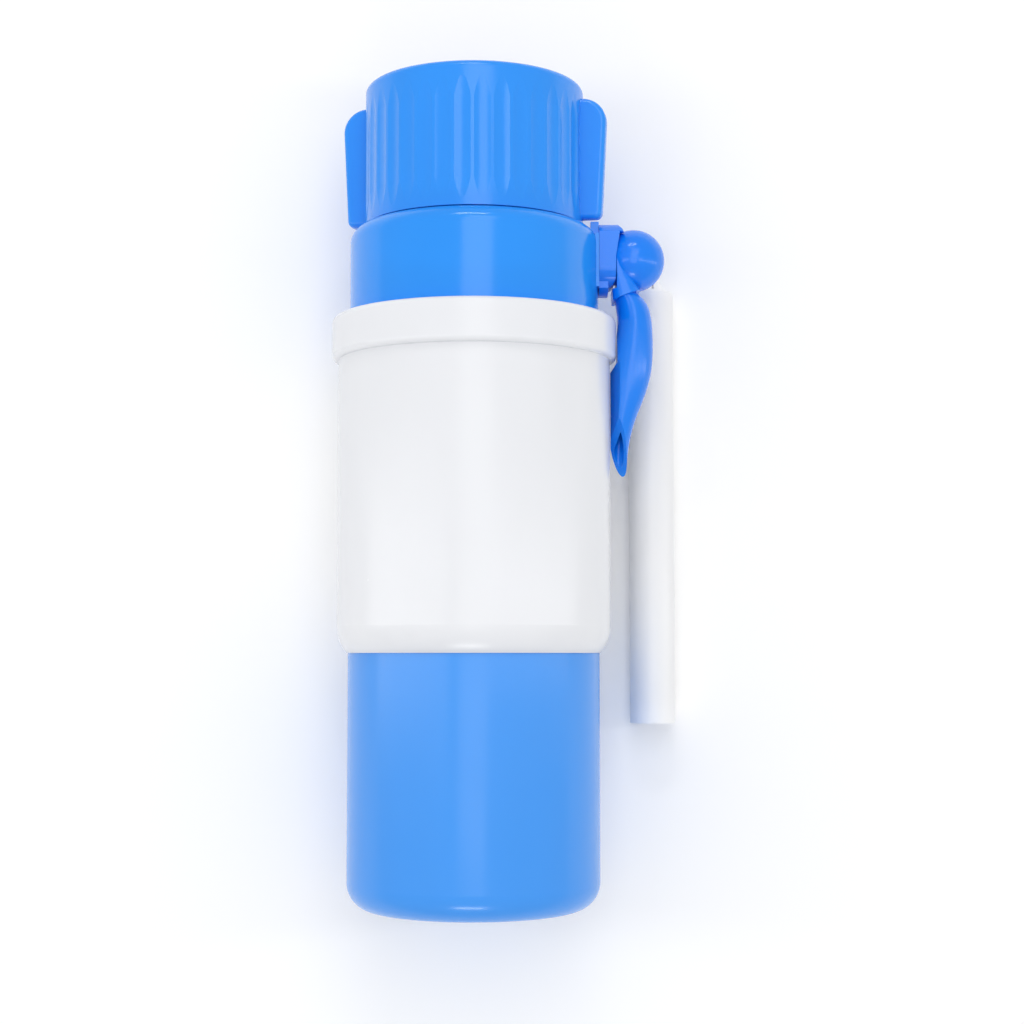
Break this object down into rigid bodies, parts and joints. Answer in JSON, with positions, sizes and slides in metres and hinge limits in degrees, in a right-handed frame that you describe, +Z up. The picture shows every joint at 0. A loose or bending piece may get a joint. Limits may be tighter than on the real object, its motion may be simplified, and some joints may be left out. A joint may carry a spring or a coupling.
{
  "type": "bottle hand pump",
  "caption": "Hand-pressed water pump for a large bottle: telescoping cap and sleeve over bellows, clamping collar with thumb wings, folding spout on a ball joint and telescopic dip tube.",
  "frame": {"origin": "Centre of the land inside the collet skirt that grips the bottle neck, on the pump's axis.", "axes": "The pump lies on its side as packed. +Y runs along its axis towards the bottle end, so the press cap is at -Y. +X is the side of the folded spout and of the loose dip tube. +Z is up from the surface it lies on."},
  "size_m": [0.1039, 0.2422, 0.084],
  "materials": {
    "housing_white": "smooth, slightly translucent white polypropylene",
    "ring_blue": "smooth blue polypropylene",
    "collar_blue": "smooth blue polypropylene with fine flutes",
    "cap_blue": "smooth blue polypropylene",
    "spout_blue": "smooth blue polypropylene",
    "tube_white": "smooth milky polypropylene tube",
    "inner_white": "plain white moulding",
    "bellows_white": "soft milky polyethylene",
    "seal_rubber": "soft translucent silicone"
  },
  "bodies": {
    "pump_body": {"housing": "housing_white", "base_ring": "ring_blue", "neck_gasket": "seal_rubber", "tube_nipple": "inner_white", "outlet_elbow": "inner_white", "union_clip": "inner_white", "valve_plate": "inner_white", "air_valve": "seal_rubber", "bellows_clamp_ring": "inner_white", "bellows": "bellows_white"},
    "press_cap": {"press_cap": "cap_blue", "bellows_top_plate": "inner_white", "intake_valve": "seal_rubber"},
    "lock_collar": {"lock_collar": "collar_blue"},
    "swivel": {"swivel_bracket": "spout_blue", "union_seals": "seal_rubber", "ball_seal": "seal_rubber", "spout_pin": "spout_blue"},
    "spout": {"spout_ball": "spout_blue", "spout_arm": "spout_blue"},
    "dip_tube": {"dip_tube_outer": "tube_white"},
    "tube_middle": {"dip_tube_middle": "tube_white", "middle_seal": "seal_rubber"},
    "tube_inner": {"dip_tube_inner": "tube_white", "inner_seal": "seal_rubber", "tube_foot": "tube_white"}
  },
  "joints": [
    {"name": "cap_press", "type": "slide", "parent": "pump_body", "child": "press_cap", "axis": [0, 1, 0], "range_m": [0, 0.06], "stiffness_N_per_m": 600, "springref_m": -0.01, "deforming": ["bellows"]},
    {"name": "collar_turn", "type": "hinge", "parent": "pump_body", "child": "lock_collar", "pos_m": [0, 0, 0], "axis": [0, -1, 0], "range_deg": [0, 60]},
    {"name": "spout_swivel", "type": "hinge", "parent": "pump_body", "child": "swivel", "pos_m": [0.04735, -0.0432, 0], "axis": [-1, 0, 0], "range_deg": [0, 180]},
    {"name": "spout_tilt", "type": "hinge", "parent": "swivel", "child": "spout", "pos_m": [0.04735, -0.0432, 0], "axis": [0, 0, 1], "range_deg": [0, 95]},
    {"name": "tube_set_aside", "type": "slide", "parent": "pump_body", "child": "dip_tube", "axis": [1, 0, 0], "range_m": [0, 0.12]},
    {"name": "middle_tube_extend", "type": "slide", "parent": "dip_tube", "child": "tube_middle", "axis": [0, 1, 0], "range_m": [0, 0.118]},
    {"name": "inner_tube_extend", "type": "slide", "parent": "tube_middle", "child": "tube_inner", "axis": [0, 1, 0], "range_m": [0, 0.112]}
  ]
}
